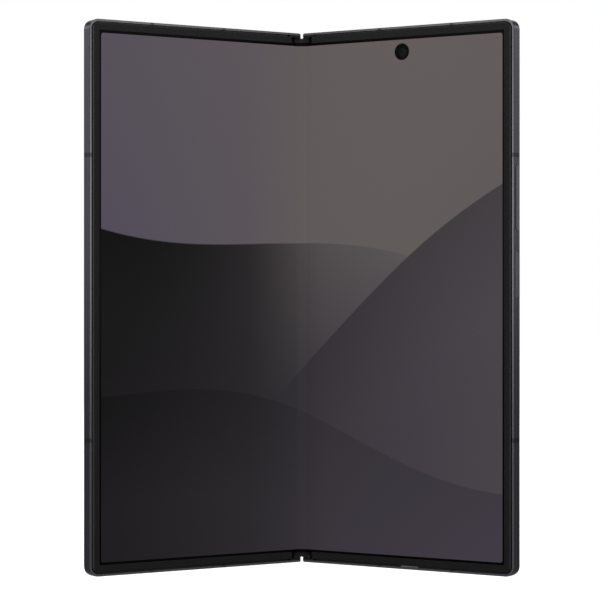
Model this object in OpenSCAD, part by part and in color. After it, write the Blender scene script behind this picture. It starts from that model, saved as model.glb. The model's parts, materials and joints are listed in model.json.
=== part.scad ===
// Foldable smartphone: two thin halves that close like a book about a geared spine.
// It stands on its lower edges, half open, with the folding display towards -Y.
//
// Each half is drawn unfolded, in its own frame: X runs from the fold line to the outer side,
// Y from the inner rim (0) to the back (body_t), and Z up. on_main() and on_cover() turn a half
// about its hinge axis into the rest pose. "u" is always a distance inward from the outer wall.

/* [Halves] */
// Height of both halves
body_h = 158.4; // [154:0.2:164]
// Width of one half, from the fold line to its outer side
half_w = 71.6; // [70:0.2:76]
// Thickness of one half, from the inner rim to the back glass
body_t = 4.2; // [4.2:0.05:4.6]
// Radius of the two outer corners
corner_r = 2.9; // [2.6:0.1:6]
// Thickness of the frame's outer wall
wall_t = 1.6; // [1.4:0.05:1.8]
// Thickness of the end walls that pass over the ends of the spine
end_wall_t = 1.2; // [1:0.05:1.3]
// Bevel along the frame's front edge
front_bevel = 0.15; // [0.1:0.01:0.3]
// Bevel along the frame's back edge
back_bevel = 0.55; // [0.3:0.05:0.6]
// Width of the frame's front edge, its bevel included
lip_w = 0.62; // [0.55:0.01:0.65]
// Depth of the frame's front edge behind the inner rim
frame_recess = 0.1; // [0.05:0.01:0.3]
// Thickness of the floor that carries the display on one side and the battery on the other
floor_t = 0.4; // [0.3:0.05:0.5]
// Depth of the frame's back edge behind the back glass
back_recess = 0.05; // [0.02:0.01:0.15]
// Thickness of the back glass and of the cover glass
glass_t = 0.6; // [0.5:0.05:0.7]
// Width of the metal wall left outside the back glass
glass_inset = 0.9; // [0.8:0.05:1.1]

/* [Folding display] */
// Depth of the display's surface behind the inner rim
display_recess = 0.35; // [0.3:0.05:0.4]
// Thickness of the display panel
panel_t = 0.4; // [0.3:0.05:0.45]
// Thickness of the metal plate behind the panel
plate_t = 0.3; // [0.2:0.05:0.35]
// Distance from the fold line to where the panel is bonded to a half
fold_free = 5; // [4.6:0.1:5.4]
// Margin of the frame that the display stays clear of
display_inset = 2.05; // [1.9:0.05:2.3]
// Width of the frame and bezel seen around the display
bezel_reach = 3.17; // [2.8:0.01:3.25]
// Width of the groove between the frame's front edge and the bezel
groove_w = 0.38; // [0.2:0.01:0.4]
// Width of the rounding on the bezel's outer edge
bezel_round = 0.36; // [0.3:0.02:0.5]
// Distance from the fold line to the end of the bezel
bezel_start = 3.9; // [3.6:0.05:4]
// Radius of the inner camera's window
inner_camera_r = 2.4; // [1.8:0.1:2.8]
// Distance from the fold line to the inner camera
inner_camera_x = 34.8; // [30:0.1:40]
// Distance from the top edge to the inner camera
inner_camera_drop = 7.4; // [6.8:0.1:9]

/* [Hinge] */
// Fold of each half at rest, from flat
fold_rest = 32.5; // [20:0.1:45]
// Depth of the hinge axes behind the inner rim
axis_y = 1; // [0.9:0.05:1.1]
// Gap between the two inner rims when the phone is closed
closed_gap = 0.5; // [0.4:0.05:0.7]
// Gap between the two halves at the fold line when the phone is flat
seam_gap = 1.5; // [1.4:0.05:1.8]
// Clearance between the spine and the coves of the halves
spine_clear = 0.1; // [0.08:0.01:0.2]
// Clearance between the end walls and the ends of the spine
spine_end_clear = 0.3; // [0.2:0.05:0.5]
// Clearance between the end walls and the end caps
cap_clear = 0.06; // [0.05:0.01:0.2]
// Wall of the spine cover
spine_wall = 0.33; // [0.25:0.01:0.4]
// Length of one hinge module
module_l = 26; // [26:0.5:32]
// Distance from each end of the phone to the middle of a hinge module
module_inset = 26; // [22:0.5:40]
// Width of a curved bracket rail
rail_w = 5.4; // [4:0.1:5.6]
// Radial clearance of the curved rails in their tracks
rail_clear = 0.08; // [0.05:0.01:0.1]
// Angle of a curved bracket rail
rail_arc = 112; // [105:1:118]
// Thickness of a curved bracket rail
rail_t = 0.75; // [0.5:0.05:0.76]
// Number of teeth on each timing gear
gear_teeth = 11; // [11:2:13]
// Pitch diameter of the timing gears
gear_d = 1.4; // [1.3:0.02:1.42]
// Width of the timing gears
gear_w = 3; // [2.4:0.1:3.4]
// Radius of the gear shafts
shaft_r = 0.26; // [0.2:0.01:0.28]
// Radial running clearance of gears on their shafts
shaft_clear = 0.03; // [0.02:0.01:0.05]
// Thickness of the timing levers
lever_t = 0.3; // [0.25:0.01:0.32]
// Length of the plain hubs on each side of a timing gear
hub_l = 1.1; // [0.8:0.05:1.3]
// Half width of the end cap seen between the bezels
cap_half_w = 2.2; // [2:0.05:2.4]

/* [Keys and ports] */
// Distance from the top edge to the volume key's middle
volume_drop = 50.75; // [50.2:0.05:55]
// Length of the volume key
volume_l = 18.9; // [16:0.1:20]
// Distance from the top edge to the power key's middle
power_drop = 72.6; // [71:0.1:78]
// Length of the power key
power_l = 13.7; // [12:0.1:14]
// Width of both keys
key_w = 2.2; // [2:0.05:2.3]
// Clearance around a key
key_clear = 0.06; // [0.04:0.01:0.1]
// Travel of both keys
key_travel = 0.3; // [0.2:0.05:0.35]
// Width of the charging port's mouth
port_w = 8.34; // [8.3:0.02:8.5]
// Height of the charging port's mouth
port_h = 2.56; // [2.5:0.02:2.6]
// Depth of the charging port
port_depth = 6.6; // [6:0.1:7.5]
// Thickness of the charging port's shell
port_wall = 0.1; // [0.08:0.01:0.12]
// Distance from the fold line to the charging port
port_x = 37; // [34:0.5:42]
// Number of holes in each speaker grille
grille_holes = 6; // [4:1:8]
// Radius of a grille hole
grille_r = 0.55; // [0.4:0.05:0.6]
// Distance between grille holes
grille_pitch = 2; // [1.8:0.1:2.4]

/* [Cameras] */
// Distance from the outer side to the middle of the camera island
island_inset = 14; // [13:0.5:16]
// Distance from the top edge to the upper rear camera's middle
island_drop = 19; // [16:0.2:26]
// Distance between rear cameras
lens_pitch = 16.8; // [16:0.1:18]
// Width of the camera island
island_w = 18.6; // [17:0.2:20]
// Height of the camera island above the back glass
island_h = 1.9; // [1.2:0.1:2.4]
// Outer radius of a rear lens ring
lens_ring_r = 7.2; // [6.6:0.1:7.6]
// Height of a lens ring above the camera island
lens_ring_h = 0.6; // [0.4:0.1:1]
// Radius of a rear lens glass
lens_r = 5.9; // [5:0.1:6.2]

/* [Tray and breaks] */
// Distance from the fold line to the card tray
tray_x = 21; // [18:0.5:24]
// Width of the card tray
tray_w = 10.4; // [10:0.1:11]
// Length of the card tray
tray_l = 17; // [15:0.5:20]
// Width of the plastic antenna breaks in the frame
break_w = 1.2; // [0.8:0.1:1.6]
// Distance from each end to the side antenna breaks
side_break_inset = 38.7; // [34:0.1:44]
// Distance from the fold line to the near end break
near_break_x = 27.4; // [24:0.1:30]
// Distance from the fold line to the far end break
far_break_x = 51.4; // [48:0.1:56]

/* [Hidden] */
$fn = 48;
eps = 0.01;

// Levels through the thickness of a half.
floor_y = display_recess + panel_t + plate_t;
pocket_y = floor_y + floor_t;
glass_y = body_t - glass_t;
inner_y = 0.05 + pocket_y;
panel_gap = 0.02;
bezel_u = lip_w + groove_w;
bezel_foot_u = lip_w + panel_gap;
bezel_foot_lap = 0.5;
glass_x0 = 3;
cover_panel_t = 0.35;
cover_panel_x0 = 5;
break_depth = glass_inset - 0.05;

// Hinge.
axis_x = axis_y + closed_gap / 2;
seam_x = seam_gap / 2;
cove_r = glass_y - axis_y;
spine_r = cove_r - spine_clear;
spine_in = spine_r - spine_wall;
spine_z0 = end_wall_t + spine_end_clear;
spine_len = body_h - 2 * spine_z0;
spine_top = axis_y + 0.1;
rail_out = spine_in - rail_clear;
rail_in = rail_out - rail_t;
core_r = rail_in - rail_clear;
rail_start = 9;
tongue_t = 0.3;
tongue_x = axis_x + rail_in + 0.25;
tongue_y = floor_y + 0.08;
notch_depth = 0.5;
hinge_block_x = 10.5;
bracket_x0 = 4.3;
bracket_x1 = 9.6;
bracket_t = 1;
pocket_clear = 0.1;
module_z = [module_inset, body_h - module_inset];
hub_end = gear_w / 2 + hub_l;
gear_zone = 2 * hub_end + 0.2;
hub_r = 0.52;
idler_hub_r = 0.44;
gear_wall = 1.1;
gear_y = axis_y + 0.88;
arm_gear_x = 1.5 * gear_d;
idler_x = gear_d / 2;
lever_y = axis_y + 0.12;
lever_pocket_t = 0.9;
lever_x1 = 8.6;
lever_w = 2 * hub_end;
rail_mid = gear_zone / 2 + gear_wall + rail_w / 2 + 0.1;
base_screw_z = module_l / 2 - 1.1;
screw_r = 0.5;
screw_head_r = 0.85;
screw_head_t = 0.35;
cap_depth = 3;
cap_z0 = end_wall_t + cap_clear;
cap_notch_r = 0.35;
fold_edge = 2.9;
fold_steps = 14;

// Rest pose: the bounding box is centred on the origin and stands on Z = 0.
rest_front = axis_y - (half_w - front_bevel - axis_x) * sin(fold_rest)
           + (frame_recess - axis_y) * cos(fold_rest);
rest_back = axis_y - (seam_x - axis_x) * sin(fold_rest)
          + (body_t - back_recess - axis_y) * cos(fold_rest);
y_shift = -(rest_front + rest_back) / 2;

// Keys, card tray and the things behind them.
key_y = body_t / 2 + 0.1;
volume_z = body_h - volume_drop;
power_z = body_h - power_drop;
key_flange_u = wall_t + 0.1;
key_flange_t = 0.4;
switch_u = key_flange_u + key_flange_t + key_travel + 0.05;
key_pocket_u = key_flange_u + key_travel + 0.05;
key_flange_y = inner_y + 0.05;
volume_proud = 0.12;
power_sink = 0.04;
tray_t = 1.1;
socket_wall = 0.2;
tray_clear = 0.08;
tray_y = inner_y + socket_wall + tray_clear;
card_w = 8.8;
card_l = 12.3;
card_t = 0.67;

// Rear cameras.
island_x = half_w - island_inset;
lens_z = [for (i = [0:2]) body_h - island_drop - i * lens_pitch];
island_l = 2 * lens_pitch + island_w;
island_y = body_t + island_h;
barrel_r = 5;
flash_x = island_x - island_w / 2 - 4.6;
flash_r = 2.1;
inner_camera_z = body_h - inner_camera_drop;
cover_camera_x = 37;
cover_camera_z = body_h - 8;
cover_camera_r = 1.7;
cover_camera_side = 5.2;
inner_camera_side = 5.8;
camera_bay_w = inner_camera_side + 0.6;
camera_bay_h = 12;
camera_clear = 0.4;

// Inside the halves.
inner_x = hinge_block_x + 0.7;
inner_w = half_w - switch_u - 0.9 - inner_x;
battery_t = 1.65;
battery_gap = 2.5;
board_t = 0.5;
board_edge = 1;
shield_t = 1.05;
shield_margin = 3.5;
main_shields = [[24, 16], [15, 24], [15, 18]];
cover_shield = [22, 12];
main_board_h = 60.8;
main_board_z = body_h - wall_t - board_edge - main_board_h;
main_battery_z = 31;
main_battery_h = main_board_z - battery_gap - main_battery_z;
motor_w = 9.5;
motor_gap = 3.5;
port_board_x = inner_x + 1 + motor_w + motor_gap;
motor_h = 17;
coil_z = main_battery_z + main_battery_h / 2;
coil_x = inner_x + inner_w / 2;
coil_r = 20;
coil_in = 11;
coil_t = 0.3;
port_clear = 0.01;
port_y = floor_y + port_clear + port_wall + port_h / 2;
port_back = 0.5;
contact_w = 6.69;
contact_t = 0.7;
contact_z0 = 1;
speaker_inset = 18.6;
speaker_x = half_w - speaker_inset;
speaker_z = 6;
speaker_h = 15;
speaker_w = 16;
horn_w = 13;
horn_l = 3.6;
cover_board_h = 20;
cover_board_z = body_h - speaker_z - speaker_h - board_edge - cover_board_h;
cover_battery_z = 12;
cover_battery_h = cover_board_z - battery_gap - cover_battery_z;
board_arm_x = tray_x + tray_w / 2 + 2;
board_arm_w = cover_camera_x - cover_camera_side / 2 - 0.6 - board_arm_x;
board_arm_end = 9;
board_hole_r = 0.7;
board_hole_inset = 2;

// ---------------------------------------------------------------- placing

// Turns a half drawn unfolded about its hinge axis into the rest pose.
module on_main(fold = fold_rest) {
  translate([axis_x, axis_y + y_shift, 0])
    rotate([0, 0, -fold])
      translate([-axis_x, -axis_y, 0])
        children();
}

module on_cover(fold = fold_rest) {
  mirror([1, 0, 0])
    on_main(fold)
      children();
}

// The spine stays where it is drawn, about the plane X = 0.
module on_spine() {
  translate([0, y_shift, 0])
    children();
}

// The same thing at the middle of each hinge module.
module at_modules() {
  for (z = module_z)
    translate([0, 0, z])
      children();
}

// ---------------------------------------------------------------- shared forms

// Extrudes an (x, z) outline from y0 to y1.
module along_y(y0, y1) {
  translate([0, y1, 0])
    rotate([90, 0, 0])
      linear_extrude(y1 - y0)
        children();
}

// A round bar along Y.
module rod_y(x, z, r, y0, y1) {
  translate([x, y0, z])
    rotate([-90, 0, 0])
      cylinder(r = r, h = y1 - y0);
}

// Outline of a half from x0 outward, drawn in by u, with round outer corners.
module half_outline(u, x0) {
  r = max(corner_r - u, 0.6);
  translate([x0, u])
    square([half_w - u - r - x0, body_h - 2 * u]);
  translate([x0, u + r])
    square([half_w - u - x0, body_h - 2 * (u + r)]);
  for (z = [u + r, body_h - u - r])
    translate([half_w - u - r, z])
      circle(r);
}

// Carries a (u, y) section along the top wall and half way down the outer wall. What lies further
// in than the corner's centre meets in a square corner.
module upper_sweep(x0) {
  multmatrix([[0, 0, 1, x0], [0, 1, 0, 0], [-1, 0, 0, body_h], [0, 0, 0, 1]])
    linear_extrude(half_w - corner_r - x0)
      children();
  translate([half_w - corner_r, 0, body_h - corner_r])
    rotate([-90, -90, 0])
      rotate_extrude(angle = 90)
        translate([corner_r, 0])
          mirror([1, 0])
            intersection() {
              children();
              translate([-eps, -body_t])
                square([corner_r + eps, 3 * body_t]);
            }
  translate([half_w, 0, body_h / 2])
    linear_extrude(body_h / 2 - corner_r)
      mirror([1, 0])
        children();
}

// Carries a (u, y) section round the three outer walls of a half.
module sweep_walls(x0) {
  upper_sweep(x0)
    children();
  translate([0, 0, body_h])
    mirror([0, 0, 1])
      upper_sweep(x0)
        children();
}

// A box with its four edges along Y rounded.
module soft_box(x0, z0, w, h, y0, y1, r = 0.8) {
  along_y(y0, y1) {
    translate([x0 + r, z0])
      square([w - 2 * r, h]);
    translate([x0, z0 + r])
      square([w, h - 2 * r]);
    for (x = [x0 + r, x0 + w - r], z = [z0 + r, z0 + h - r])
      translate([x, z])
        circle(r);
  }
}

// An upright pill of width w and length l between y0 and y1, bevelled at y1.
module pill_y(x, z, w, l, y0, y1, bevel = 0) {
  r = w / 2;
  run = l - w;
  for (s = [-1, 1])
    translate([x, y0, z + s * run / 2])
      rotate([-90, 0, 0]) {
        cylinder(r = r, h = y1 - y0 - bevel);
        if (bevel > 0)
          translate([0, 0, y1 - y0 - bevel])
            cylinder(r1 = r, r2 = r - bevel, h = bevel);
      }
  translate([x, 0, z - run / 2])
    linear_extrude(run)
      polygon([
        [-r, y0], [r, y0], [r, y1 - bevel], [r - bevel, y1],
        [bevel - r, y1], [-r, y1 - bevel]
      ]);
}

// A slot with round ends, its long side along X, running along Z.
module pill_z(x, y, w, h, z0, z1) {
  translate([0, 0, z0])
    linear_extrude(z1 - z0) {
      translate([x, y])
        square([w - h, h], center = true);
      for (s = [-1, 1])
        translate([x + s * (w - h) / 2, y])
          circle(h / 2);
    }
}

// ---------------------------------------------------------------- frames

// Section of the frame's wall, with its bevels and the ledge that carries the glass.
module frame_section() {
  back_edge = body_t - back_recess;
  polygon([
    [front_bevel, frame_recess], [lip_w, frame_recess], [lip_w, floor_y],
    [wall_t, floor_y], [wall_t, glass_y], [glass_inset, glass_y], [glass_inset, back_edge],
    [back_bevel, back_edge], [0, back_edge - back_bevel], [0, frame_recess + front_bevel]
  ]);
}

// Slabs that stand where the plastic antenna breaks interrupt the frame.
module break_slabs() {
  for (z = [side_break_inset, body_h - side_break_inset])
    translate([half_w - break_depth, -1, z - break_w / 2])
      cube([break_depth + 1, body_t + 2, break_w]);
  for (x = [near_break_x, far_break_x], z = [-1, body_h - break_depth])
    translate([x - break_w / 2, -1, z])
      cube([break_w, body_t + 2, break_depth + 1]);
}

// Space that the spine turns in: round about the hinge axis, flat over the middle.
module cove() {
  z0 = end_wall_t;
  h = body_h - 2 * end_wall_t;
  translate([axis_x, axis_y, z0])
    cylinder(r = cove_r, h = h, $fn = 72);
  translate([-1, -1, z0])
    cube([axis_x + 1, glass_y + 1, h]);
  translate([-1, -1, z0])
    cube([axis_x + cove_r + 1, axis_y + 1, h]);
}

// Rounds the outer end of each end wall, beside the seam.
module seam_corners() {
  r = 0.5;
  for (z = [0, body_h])
    translate([seam_x, 0, z])
      mirror([0, 0, z > 0 ? 1 : 0])
        along_y(-1, body_t + 1)
          difference() {
            translate([-eps, -eps])
              square(r + eps);
            translate([r, r])
              circle(r);
          }
}

// Recesses for the curved brackets and the timing levers.
module hinge_pockets(rail_side) {
  x0 = axis_x + cove_r - 0.5;
  at_modules() {
    translate([x0, floor_y - eps, rail_side * rail_mid - rail_w / 2 - pocket_clear])
      cube([bracket_x1 + pocket_clear - x0, bracket_t + eps, rail_w + 2 * pocket_clear]);
    translate([x0, floor_y - eps, -lever_w / 2 - pocket_clear])
      cube([lever_x1 + pocket_clear - x0, lever_pocket_t, lever_w + 2 * pocket_clear]);
    bracket_screw_holes(rail_side, screw_r);
  }
}

module bracket_screw_holes(rail_side, r) {
  for (x = [bracket_x0 + 1.2, bracket_x1 - 1.2])
    rod_y(x, rail_side * rail_mid, r, floor_y - eps, floor_y + bracket_t + 1);
}

// Holes of a speaker grille through the end wall at z.
module grille(x, z) {
  for (i = [0:grille_holes - 1])
    translate([x + (i - (grille_holes - 1) / 2) * grille_pitch, key_y, z - wall_t])
      cylinder(r = grille_r, h = 2 * wall_t, $fn = 24);
}

// A frame without its ports: walls, floor and the solid block along the hinge.
module bare_frame(rail_side) {
  difference() {
    union() {
      sweep_walls(seam_x)
        frame_section();
      along_y(floor_y, pocket_y)
        half_outline(bezel_u, hinge_block_x - 1);
      translate([seam_x, floor_y, bezel_u])
        cube([hinge_block_x - seam_x, glass_y - floor_y, body_h - 2 * bezel_u]);
      translate([seam_x, glass_y - eps, bezel_u - 0.5])
        cube([glass_x0 - seam_x, body_t - back_recess - glass_y + eps, body_h - 2 * bezel_u + 1]);
    }
    cove();
    seam_corners();
    hinge_pockets(rail_side);
    break_slabs();
  }
}

// Slot of a key through the outer wall.
module key_slot(z, l) {
  w = key_w + 2 * key_clear;
  translate([half_w - key_pocket_u, 0, 0])
    rotate([0, 90, 0])
      linear_extrude(key_pocket_u + 1)
        translate([-z, key_y])
          key_outline(l + 2 * key_clear, w);
}

// Outline of a key, seen from the side: long with round ends.
module key_outline(l, w) {
  square([l - w, w], center = true);
  for (s = [-1, 1])
    translate([s * (l - w) / 2, 0])
      circle(w / 2);
}

module main_frame() {
  color("#34343a")
    difference() {
      bare_frame(1);
      key_slot(volume_z, volume_l);
      key_slot(power_z, power_l);
      port_space();
      grille(speaker_x, 0);
      rod_y(inner_camera_x, inner_camera_z, inner_camera_r, 0, pocket_y + eps);
      for (x = [port_x - 10, port_x + 8])
        translate([x, key_y, -1])
          cylinder(r = 0.35, h = wall_t + 2, $fn = 24);
    }
}

module cover_frame() {
  color("#34343a")
    difference() {
      bare_frame(-1);
      grille(speaker_x, body_h);
      tray_space(tray_clear);
      along_y(glass_y - cover_panel_t - eps, glass_y + eps)
        half_outline(glass_inset + 1.3, cover_panel_x0);
    }
}

// The frame's missing slices, moulded in plastic.
module antenna_breaks() {
  color("#2a2a30")
    intersection() {
      sweep_walls(seam_x)
        frame_section();
      break_slabs();
    }
}

// ---------------------------------------------------------------- bezel, glass and display

// Raised strip around the display, which hides its edge. Its feet run along the end walls to the
// seam and close the groove there.
module bezel() {
  color("#1d1d1e")
    union() {
      sweep_walls(bezel_start)
        polygon([
          [bezel_u, floor_y],
          for (a = [0:18:90])
            [bezel_u + bezel_round * (1 - cos(a)), 0.8 * bezel_round * (1 - sin(a))],
          [bezel_reach - 0.12, 0], [bezel_reach, 0.12], [bezel_reach, display_recess - panel_gap],
          [display_inset - 0.05, display_recess - panel_gap], [display_inset - 0.05, floor_y]
        ]);
      for (z = [bezel_foot_u, body_h - end_wall_t])
        translate([seam_x, frame_recess, z])
          cube([
            bezel_start + bezel_foot_lap - seam_x, floor_y - frame_recess,
            end_wall_t - bezel_foot_u
          ]);
    }
}

// A back glass with its three outer edges bevelled.
module back_glass() {
  run = corner_r;
  u0 = glass_inset + 0.03;
  union() {
    sweep_walls(glass_x0 + 0.05)
      polygon([
        [u0, glass_y], [u0, body_t - 0.18], [u0 + 0.3, body_t], [run - 0.2, body_t],
        [run - 0.2, glass_y]
      ]);
    along_y(glass_y, body_t)
      half_outline(run - 0.8, glass_x0 + 0.05);
  }
}

module rear_glass() {
  color("#2b2b30")
    difference() {
      back_glass();
      port_space();
      pill_y(island_x, lens_z[1], island_w + 0.1, island_l + 0.1, glass_y - 1, body_t + 1);
      rod_y(flash_x, lens_z[0], flash_r + 0.05, glass_y - 1, body_t + 1);
    }
}

module cover_glass() {
  color("#101012")
    back_glass();
}

module cover_display() {
  color("#0b0b0d")
    difference() {
      along_y(glass_y - cover_panel_t + 0.03, glass_y - panel_gap)
        half_outline(glass_inset + 1.4, cover_panel_x0 + 0.1);
      rod_y(cover_camera_x, cover_camera_z, cover_camera_r + 0.1, glass_y - 1, glass_y + 1);
    }
}

// The flat part of the folding display on one half.
module display_part(y0, y1, x0) {
  along_y(y0, y1)
    half_outline(display_inset, x0);
}

module main_display_panel() {
  color("#4a464b")
    difference() {
      display_part(display_recess, display_recess + panel_t - panel_gap, fold_free + 0.05);
      rod_y(inner_camera_x, inner_camera_z, inner_camera_r, 0, floor_y);
    }
}

module main_display_plate() {
  color("#77777c")
    difference() {
      display_part(floor_y - plate_t, floor_y, fold_free + 0.3);
      rod_y(inner_camera_x, inner_camera_z, inner_camera_r, 0, floor_y + 1);
    }
}

module cover_display_panel() {
  color("#3a363b")
    display_part(display_recess, display_recess + panel_t - panel_gap, fold_free + 0.05);
}

module cover_display_plate() {
  color("#77777c")
    display_part(floor_y - plate_t, floor_y, fold_free + 0.3);
}

// Share of the half's turn that the free sheet has at a distance x from the fold line.
function turn_share(x) =
  let (t = min(x / fold_free, 1))
    t * t * (3 - 2 * t);

// Where a point (x, y) of the flat sheet lies once the halves have folded.
function folded(x, y) =
  let (turn = turn_share(abs(x)) * fold_rest, dx = abs(x) - axis_x, dy = y - axis_y)
    [
      sign(x) * (axis_x + dx * cos(turn) + dy * sin(turn)),
      axis_y - dx * sin(turn) + dy * cos(turn)
    ];

// The free middle of the folding display, bent between the two halves.
module display_fold() {
  y0 = display_recess + panel_gap;
  y1 = display_recess + panel_t - 2 * panel_gap;
  xs = [for (i = [-fold_steps:fold_steps]) i * fold_free / fold_steps];
  color("#454146")
    translate([0, 0, fold_edge])
      linear_extrude(body_h - 2 * fold_edge)
        polygon([
          for (x = xs) folded(x, y0),
          for (i = [len(xs) - 1:-1:0]) folded(xs[i], y1)
        ]);
}

// ---------------------------------------------------------------- cameras

module camera_island() {
  color("#26262b")
    difference() {
      union() {
        pill_y(island_x, lens_z[1], island_w, island_l, glass_y, island_y, 0.5);
        pill_y(island_x, lens_z[1], island_w - 2, island_l - 2, glass_y - 0.4, glass_y + eps);
      }
      for (z = lens_z) {
        rod_y(island_x, z, lens_r, glass_y - 1, island_y + 1);
        rod_y(island_x, z, lens_ring_r, island_y - 0.6, island_y + 1);
      }
    }
}

module camera_lens_rings() {
  color("#55555c")
    for (z = lens_z)
      translate([island_x, island_y - 0.6, z])
        rotate([-90, 0, 0])
          rotate_extrude()
            polygon([
              [lens_r, 0], [lens_ring_r - 0.03, 0], [lens_ring_r - 0.03, lens_ring_h + 0.25],
              [lens_ring_r - 0.38, lens_ring_h + 0.6], [lens_r + 0.25, lens_ring_h + 0.6],
              [lens_r, lens_ring_h + 0.45]
            ]);
}

module camera_lens_glasses() {
  color("#0d0d12")
    for (z = lens_z)
      rod_y(island_x, z, lens_r - 0.02, island_y - 0.6, island_y + lens_ring_h - 0.2);
}

// Three camera modules: a square housing with a stepped lens barrel.
module rear_cameras() {
  side = 2 * barrel_r + 1.2;
  color("#18181b")
    for (z = lens_z) {
      soft_box(island_x - side / 2, z - side / 2, side, side, inner_y, glass_y - 0.45, 0.6);
      difference() {
        rod_y(island_x, z, barrel_r, glass_y - 0.5, island_y - 0.8);
        translate([island_x, island_y - 1.6, z])
          rotate([-90, 0, 0])
            cylinder(r1 = 1.6, r2 = 3.6, h = 1);
      }
    }
}

module flash_lens() {
  color("#d9d4c4")
    rod_y(flash_x, lens_z[0], flash_r, glass_y - 0.5, body_t - 0.02);
}

module inner_camera() {
  color("#141416")
    difference() {
      union() {
        rod_y(inner_camera_x, inner_camera_z, inner_camera_r - 0.1, floor_y - plate_t, inner_y + 0.1);
        soft_box(inner_camera_x - inner_camera_side / 2, inner_camera_z - inner_camera_side / 2,
                 inner_camera_side, inner_camera_side, inner_y, glass_y - camera_clear);
      }
      translate([inner_camera_x, floor_y - plate_t - eps, inner_camera_z])
        rotate([-90, 0, 0])
          cylinder(r1 = 1.5, r2 = 0.7, h = 0.6);
    }
}

module inner_camera_window() {
  color("#0a0a0b")
    rod_y(inner_camera_x, inner_camera_z, inner_camera_r - 0.03, display_recess + panel_gap,
          display_recess + panel_t - panel_gap);
}

module cover_camera() {
  color("#141416")
    union() {
      rod_y(cover_camera_x, cover_camera_z, cover_camera_r, glass_y - 0.6, glass_y - panel_gap);
      soft_box(cover_camera_x - cover_camera_side / 2, cover_camera_z - cover_camera_side / 2,
               cover_camera_side, cover_camera_side, inner_y, glass_y - camera_clear - 0.1);
    }
}

// ---------------------------------------------------------------- inside the main half

module main_battery() {
  color("#2f3033")
    soft_box(inner_x, main_battery_z, inner_w, main_battery_h, inner_y, inner_y + battery_t, 1.5);
}

// Board beside the cameras, with a bay for the inner camera.
module main_board() {
  top = main_board_z + main_board_h;
  side = island_x - barrel_r - 2;
  color("#1f4a3a")
    difference() {
      soft_box(inner_x, main_board_z, side - inner_x, top - main_board_z,
               inner_y, inner_y + board_t);
      soft_box(inner_camera_x - camera_bay_w / 2, inner_camera_z - camera_bay_w / 2,
               camera_bay_w, camera_bay_h, inner_y - 1, inner_y + 2);
      for (x = [inner_x + board_hole_inset, side - board_hole_inset],
           z = [main_board_z + board_hole_inset, top - board_hole_inset])
        rod_y(x, z, board_hole_r, inner_y - 1, inner_y + 2);
    }
}

module board_shields() {
  y0 = inner_y + board_t;
  x0 = inner_x + shield_margin;
  z0 = main_board_z + shield_margin;
  z1 = z0 + main_shields[0][1] + 2;
  corners = [[x0, z0], [x0, z1], [x0 + main_shields[1][0] + 2, z1]];
  color("#b9bbbf")
    for (i = [0:2])
      soft_box(corners[i][0], corners[i][1], main_shields[i][0], main_shields[i][1],
               y0, y0 + shield_t, 0.5);
}

module charging_coil() {
  color("#9a6a3c")
    translate([coil_x, glass_y - 0.05 - coil_t, coil_z])
      rotate([-90, 0, 0])
        rotate_extrude($fn = 96)
          for (i = [0:7])
            translate([coil_in + i * (coil_r - coil_in) / 8, 0])
              square([(coil_r - coil_in) / 8 + (i < 7 ? eps : 0), coil_t * (i % 2 == 0 ? 1 : 0.8)]);
}

// Outline of the charging port, grown by g, from z0 to z1.
module port_form(g, z0, z1) {
  pill_z(port_x, port_y, port_w + 2 * g, port_h + 2 * g, z0, z1);
}

// Space that the port takes out of the frame and the back glass.
module port_space() {
  port_form(port_wall + port_clear, -1, port_depth + port_back + port_clear);
}

// Metal shell with a contact tongue in the middle of its mouth.
module charging_port() {
  color("#6a6b70")
    difference() {
      port_form(port_wall, back_bevel, port_depth + port_back);
      port_form(0, 0, port_depth);
    }
  color("#3c3c40")
    translate([port_x - contact_w / 2, port_y - contact_t / 2, contact_z0])
      cube([contact_w, contact_t, port_depth + eps - contact_z0]);
}

module port_board() {
  z0 = port_depth + port_back + 0.2;
  color("#1f4a3a")
    soft_box(port_board_x, z0, speaker_x - speaker_w / 2 - 0.5 - port_board_x,
             main_battery_z - battery_gap - z0, inner_y, inner_y + board_t);
}

// A speaker box with a raised grille side towards the end wall.
module speaker(z0) {
  x0 = speaker_x - speaker_w / 2;
  soft_box(x0, z0, speaker_w, speaker_h, inner_y, glass_y - 0.45, 1.5);
  soft_box(speaker_x - horn_w / 2, z0 - horn_l, horn_w, horn_l + 1, inner_y + 0.1,
           glass_y - 0.6, 0.5);
}

module main_speaker() {
  color("#222225")
    speaker(speaker_z);
}

module haptic_motor() {
  color("#a9abb0")
    soft_box(inner_x + 1, speaker_z, motor_w, motor_h, inner_y, glass_y - 0.5, 2);
}

// Dome switches on a narrow board behind the keys.
module key_switches() {
  u = switch_u + 0.35;
  z0 = power_z - power_l / 2;
  color("#8a6a2c")
    union() {
      translate([half_w - u - 0.3, key_flange_y, z0])
        cube([0.3, 1.7, volume_z + volume_l / 2 - z0]);
      for (z = [power_z, volume_z - volume_l / 4, volume_z + volume_l / 4])
        translate([half_w - u - eps, key_y, z])
          rotate([0, 90, 0])
            cylinder(r1 = 0.6, r2 = 0.4, h = 0.35 + eps, $fn = 24);
    }
}

// A key cap with a flange behind the wall that keeps it in its slot.
module key(z, l, proud) {
  translate([half_w - key_flange_u, 0, 0])
    rotate([0, 90, 0]) {
      linear_extrude(key_flange_u + proud - 0.1)
        translate([-z, key_y])
          key_outline(l, key_w);
      translate([0, 0, key_flange_u + proud - 0.1])
        linear_extrude(0.1)
          translate([-z, key_y])
            key_outline(l - 0.2, key_w - 0.2);
      translate([0, 0, -key_flange_t])
        linear_extrude(key_flange_t)
          translate([-z - l / 2 - 0.5, key_flange_y])
            square([l + 1, key_y + key_w / 2 + 0.1 - key_flange_y]);
    }
}

module volume_key() {
  color("#3c3c43")
    key(volume_z, volume_l, volume_proud);
}

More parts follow.
